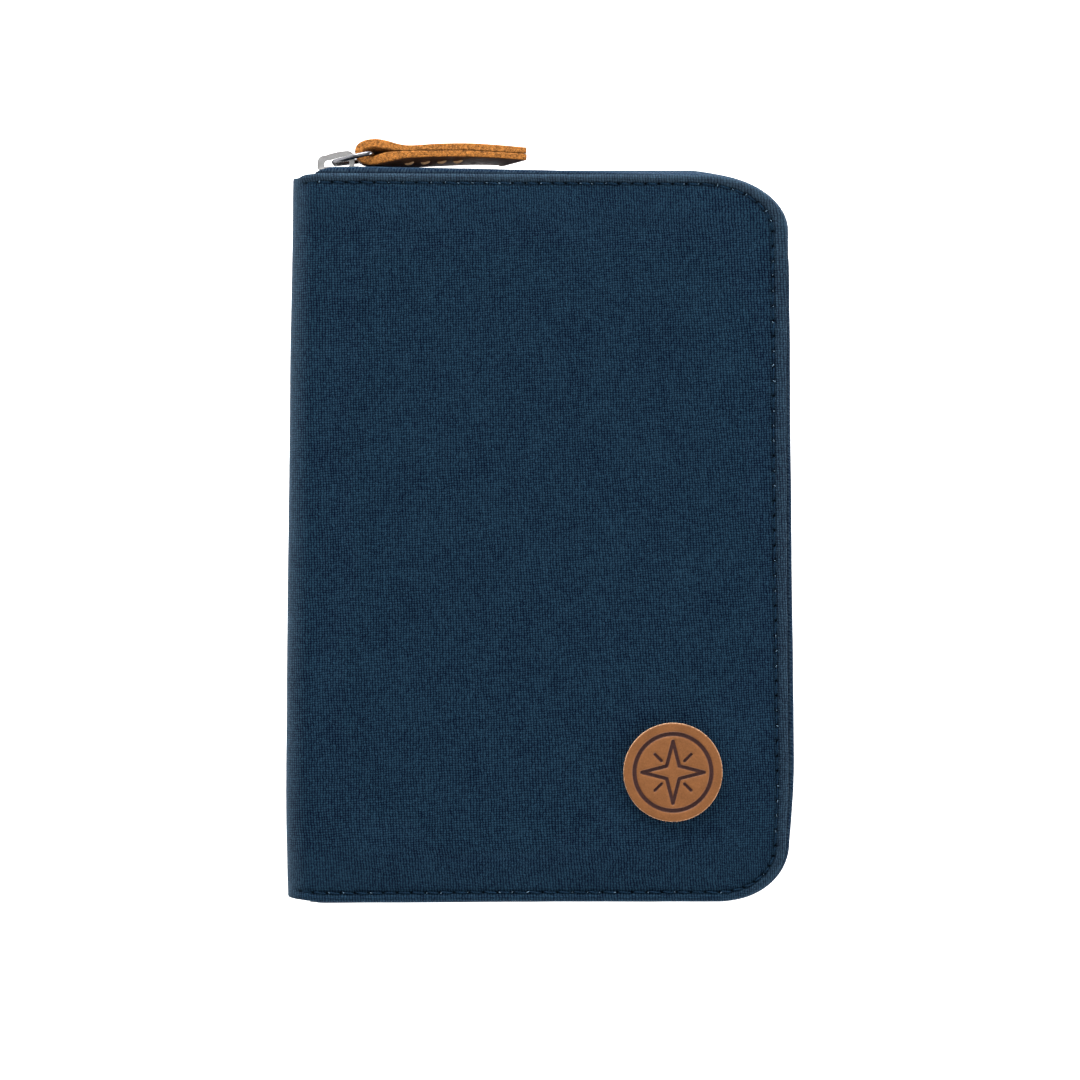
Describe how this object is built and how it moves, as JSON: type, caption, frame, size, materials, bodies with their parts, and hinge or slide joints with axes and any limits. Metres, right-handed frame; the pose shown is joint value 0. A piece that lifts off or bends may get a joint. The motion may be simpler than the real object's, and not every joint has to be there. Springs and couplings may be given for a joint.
{
  "type": "passport holder",
  "caption": "Flat zip-around fabric passport holder that opens like a book, with slip pockets inside, a coil zip round three edges and a leather zip pull.",
  "frame": {"origin": "middle of the back cover's outer flat face, on which the closed holder rests", "axes": "+Z through the thickness towards the front cover, +Y towards the edge where the zip slider parks, +X from the spine towards the free edge"},
  "size_m": [0.0983, 0.1498, 0.0152],
  "materials": {
    "canvas": "navy waxed plain-weave canvas",
    "lining": "dark navy fine plain-weave lining",
    "pocket_fabric": "navy fine plain-weave pocket cloth",
    "binding_tape": "dark navy ribbed edge tape",
    "foam": "soft grey closed-cell foam",
    "zip_tape": "navy herringbone woven zip tape",
    "zip_coil": "dark navy nylon filament",
    "zip_metal": "satin cast zinc",
    "ring_wire": "polished plated wire",
    "sewing_thread": "navy bonded thread",
    "tab_thread": "waxed tan thread",
    "tab_leather": "tan vegetable-tanned leather, raw cut edges",
    "patch_leather": "tan smooth leather with pressed dark lines"
  },
  "bodies": {
    "root": {"back_outer_fabric": "canvas", "back_foam_pad": "foam", "back_lining": "lining", "back_zip_tape": "zip_tape", "back_zip_coil": "zip_coil", "back_topstitch": "sewing_thread", "zip_top_stop": "zip_metal", "zip_bottom_stop": "zip_metal", "passport_pocket": "pocket_fabric", "passport_pocket_binding": "binding_tape", "ticket_pocket": "pocket_fabric", "ticket_pocket_binding": "binding_tape"},
    "spine": {"spine_outer_fabric": "canvas", "spine_lining": "lining"},
    "front_cover": {"front_outer_fabric": "canvas", "front_foam_pad": "foam", "front_lining": "lining", "front_zip_tape": "zip_tape", "front_zip_coil": "zip_coil", "front_topstitch": "sewing_thread", "leather_patch": "patch_leather", "note_pocket": "pocket_fabric", "note_pocket_binding": "binding_tape", "card_pocket_upper": "pocket_fabric", "card_pocket_middle": "pocket_fabric", "card_pocket_lower": "pocket_fabric", "card_pocket_bindings": "binding_tape"},
    "zip_slider": {"slider_body": "zip_metal", "slider_crown": "zip_metal"},
    "pull_ring": {"pull_ring": "ring_wire"},
    "pull_tab": {"leather_tab": "tab_leather", "tab_stitches": "tab_thread"}
  },
  "joints": [
    {"name": "spine_fold_back", "type": "hinge", "parent": "root", "child": "spine", "pos_m": [-0.04793, 0, 0.00108], "axis": [0, -1, 0], "range_deg": [0, 90]},
    {"name": "spine_fold_front", "type": "hinge", "parent": "spine", "child": "front_cover", "pos_m": [-0.04793, 0, 0.01293], "axis": [0, -1, 0], "range_deg": [0, 90]},
    {"name": "slider_travel", "type": "slide", "parent": "root", "child": "zip_slider", "axis": [1, 0, 0], "range_m": [0, 0.066], "deforming": ["back_zip_coil", "front_zip_coil"]},
    {"name": "pull_ring_swing", "type": "hinge", "parent": "zip_slider", "child": "pull_ring", "pos_m": [-0.0403, 0.07328, 0.007], "axis": [-0.0199, 0.1026, 0.9945], "range_deg": [0, 150]},
    {"name": "pull_tab_swing", "type": "hinge", "parent": "pull_ring", "child": "pull_tab", "pos_m": [-0.03274, 0.07475, 0.007], "axis": [-0.0199, 0.1026, 0.9945], "range_deg": [0, 30]}
  ],
  "couplings": [
    {"joint": "spine_fold_front", "follows": "spine_fold_back", "ratio": 1}
  ]
}
